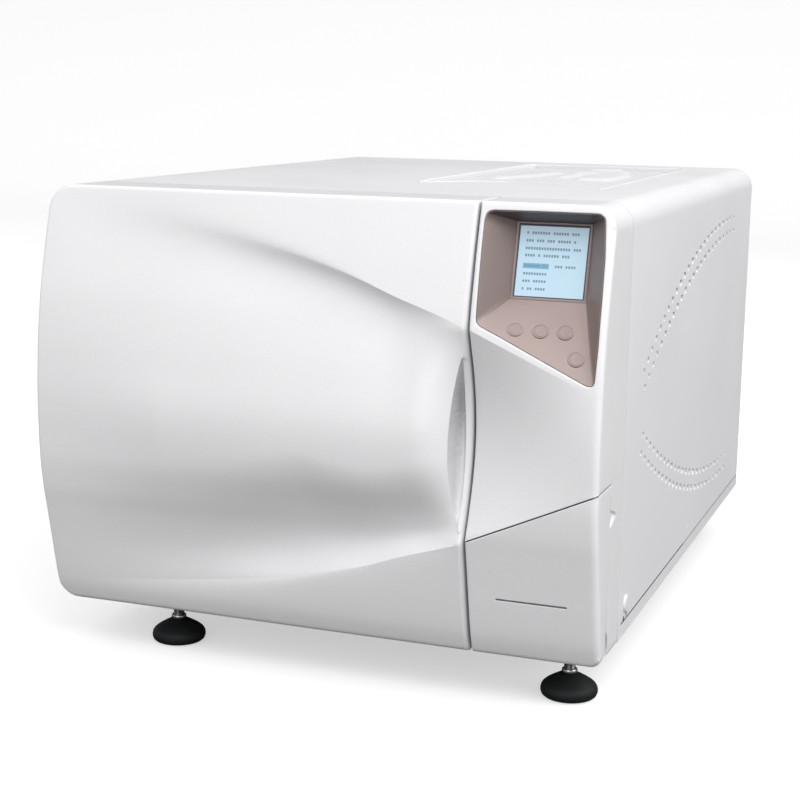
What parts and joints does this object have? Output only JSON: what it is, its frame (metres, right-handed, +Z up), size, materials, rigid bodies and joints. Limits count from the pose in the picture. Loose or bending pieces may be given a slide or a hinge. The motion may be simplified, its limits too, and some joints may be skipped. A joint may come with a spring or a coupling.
{
  "type": "benchtop autoclave",
  "caption": "Benchtop steam steriliser with a curved hinged front door, side control console, drop-down service flap, lift-off tank lid and levelling feet.",
  "frame": {"origin": "on the bench plane under the centre of the overall box", "axes": "+X to the operator's right, +Y to the rear, +Z up; the door faces -Y"},
  "size_m": [0.4986, 0.705, 0.4104],
  "materials": {
    "painted_steel": "fine textured light grey powder coat",
    "front_shell": "satin white moulded shell with a very fine speckle",
    "bezel": "satin mauve-brown",
    "display_glass": "clear window over a pale blue display",
    "display_body": "dark moulding",
    "button": "satin mauve, domed",
    "black_rubber": "matt",
    "stud_steel": "plated thread",
    "stainless": "brushed stainless",
    "vessel_steel": "polished stainless",
    "insulation": "glass-fibre felt",
    "gasket": "off-white silicone",
    "brass": "machined",
    "copper_pipe": "drawn tube",
    "tank_plastic": "translucent white",
    "tray_plastic": "white moulding",
    "circuit_board": "solder mask green",
    "dark_plastic": "black moulding",
    "grey_plastic": "grey moulding",
    "aluminium": "cast and machined",
    "paper": "thermal paper",
    "blue_knob": "moulded",
    "red_knob": "moulded"
  },
  "bodies": {
    "chassis": {"base_tray": "painted_steel", "casing_cover": "painted_steel", "casing_screws": "stainless", "rear_panel": "painted_steel", "power_inlet": "dark_plastic", "front_frame": "stainless", "hinge_brackets": "stainless", "hinge_pins": "stud_steel", "fascia_panel": "front_shell", "console_bezel": "bezel", "display_window": "display_glass", "display_module": "display_body", "flap_hinge_pins": "stud_steel", "printer_body": "grey_plastic", "drain_couplings": "brass", "air_filter": "tank_plastic", "lock_housing": "grey_plastic", "tank_tray": "tray_plastic", "clean_water_tank": "tank_plastic", "waste_water_tank": "tank_plastic", "pressure_vessel": "vessel_steel", "insulation_jacket": "insulation", "steam_generator": "vessel_steel", "vacuum_pump": "aluminium", "condenser": "aluminium", "fan_frame": "dark_plastic", "valve_block": "brass", "control_board": "circuit_board", "safety_valve": "brass", "pipework": "copper_pipe"},
    "door": {"door_cover": "front_shell", "door_inner_cover": "stainless", "door_beam": "stainless", "pressure_lid": "vessel_steel", "door_gasket": "gasket", "lid_centre_bolt": "stud_steel"},
    "service_flap": {"service_flap": "front_shell"},
    "tank_lid": {"tank_lid": "tray_plastic"},
    "fan_rotor": {"fan_rotor": "dark_plastic"},
    "rocker_switch": {"rocker_switch": "dark_plastic"},
    "paper_roll": {"paper_roll": "paper"},
    "platen_roller": {"platen_roller": "black_rubber"},
    "drain_knob_1": {"drain_knob_1": "blue_knob"},
    "drain_knob_2": {"drain_knob_2": "red_knob"},
    "lock_bolt": {"lock_bolt": "stud_steel"},
    "lock_pinion": {"lock_pinion": "brass"},
    "tray_stack": {"tray_rack": "stainless", "instrument_trays": "stainless"},
    "button_1": {"button_1": "button"},
    "button_2": {"button_2": "button"},
    "button_3": {"button_3": "button"},
    "button_4": {"button_4": "button"},
    "foot_front_left": {"foot_pad_front_left": "black_rubber", "foot_stud_front_left": "stud_steel"},
    "foot_front_right": {"foot_pad_front_right": "black_rubber", "foot_stud_front_right": "stud_steel"},
    "foot_rear_left": {"foot_pad_rear_left": "black_rubber", "foot_stud_rear_left": "stud_steel"},
    "foot_rear_right": {"foot_pad_rear_right": "black_rubber", "foot_stud_rear_right": "stud_steel"}
  },
  "joints": [
    {"name": "door_hinge", "type": "hinge", "parent": "chassis", "child": "door", "pos_m": [-0.2355, -0.2775, 0.227], "axis": [0, 0, -1], "range_deg": [0, 95]},
    {"name": "flap_hinge", "type": "hinge", "parent": "chassis", "child": "service_flap", "pos_m": [0.193, -0.3145, 0.0568], "axis": [1, 0, 0], "range_deg": [0, 90]},
    {"name": "tank_lid_lift", "type": "slide", "parent": "chassis", "child": "tank_lid", "axis": [0, 0, 1], "range_m": [0, 0.08]},
    {"name": "lock_bolt_slide", "type": "slide", "parent": "chassis", "child": "lock_bolt", "axis": [-1, 0, 0], "range_m": [0, 0.014]},
    {"name": "lock_pinion_turn", "type": "hinge", "parent": "chassis", "child": "lock_pinion", "pos_m": [0.175, -0.2855, 0.218], "axis": [0, 1, 0], "range_deg": [-101, 1]},
    {"name": "fan_spin", "type": "hinge", "parent": "chassis", "child": "fan_rotor", "pos_m": [0.165, 0.3235, 0.132], "axis": [0, 1, 0], "continuous": true},
    {"name": "power_rocker", "type": "hinge", "parent": "chassis", "child": "rocker_switch", "pos_m": [-0.19, 0.3285, 0.12], "axis": [1, 0, 0], "range_deg": [-8, 8]},
    {"name": "paper_roll_spin", "type": "hinge", "parent": "chassis", "child": "paper_roll", "pos_m": [0.193, -0.2985, 0.123], "axis": [1, 0, 0], "continuous": true},
    {"name": "platen_spin", "type": "hinge", "parent": "chassis", "child": "platen_roller", "pos_m": [0.193, -0.3085, 0.093], "axis": [1, 0, 0], "continuous": true},
    {"name": "drain_knob_1_turn", "type": "hinge", "parent": "chassis", "child": "drain_knob_1", "pos_m": [0.18, -0.2985, 0.063], "axis": [0, -1, 0], "range_deg": [0, 180]},
    {"name": "drain_knob_2_turn", "type": "hinge", "parent": "chassis", "child": "drain_knob_2", "pos_m": [0.208, -0.2985, 0.063], "axis": [0, -1, 0], "range_deg": [0, 180]},
    {"name": "tray_stack_slide", "type": "slide", "parent": "chassis", "child": "tray_stack", "axis": [0, -1, 0], "range_m": [0, 0.02]},
    {"name": "button_1_press", "type": "slide", "parent": "chassis", "child": "button_1", "axis": [-0.212, 0.6789, -0.7029], "range_m": [0, 0.0008]},
    {"name": "button_2_press", "type": "slide", "parent": "chassis", "child": "button_2", "axis": [-0.1649, 0.7386, -0.6537], "range_m": [0, 0.0008]},
    {"name": "button_3_press", "type": "slide", "parent": "chassis", "child": "button_3", "axis": [-0.124, 0.7941, -0.595], "range_m": [0, 0.0008]},
    {"name": "button_4_press", "type": "slide", "parent": "chassis", "child": "button_4", "axis": [-0.1759, 0.7956, -0.5797], "range_m": [0, 0.0008]},
    {"name": "foot_front_left_adjust", "type": "slide", "parent": "chassis", "child": "foot_front_left", "axis": [0, 0, 1], "range_m": [-0.008, 0.0005]},
    {"name": "foot_front_right_adjust", "type": "slide", "parent": "chassis", "child": "foot_front_right", "axis": [0, 0, 1], "range_m": [-0.008, 0.0005]},
    {"name": "foot_rear_left_adjust", "type": "slide", "parent": "chassis", "child": "foot_rear_left", "axis": [0, 0, 1], "range_m": [-0.008, 0.0005]},
    {"name": "foot_rear_right_adjust", "type": "slide", "parent": "chassis", "child": "foot_rear_right", "axis": [0, 0, 1], "range_m": [-0.008, 0.0005]}
  ],
  "couplings": [
    {"joint": "lock_pinion_turn", "follows": "lock_bolt_slide", "rad_per_m": -125}
  ]
}
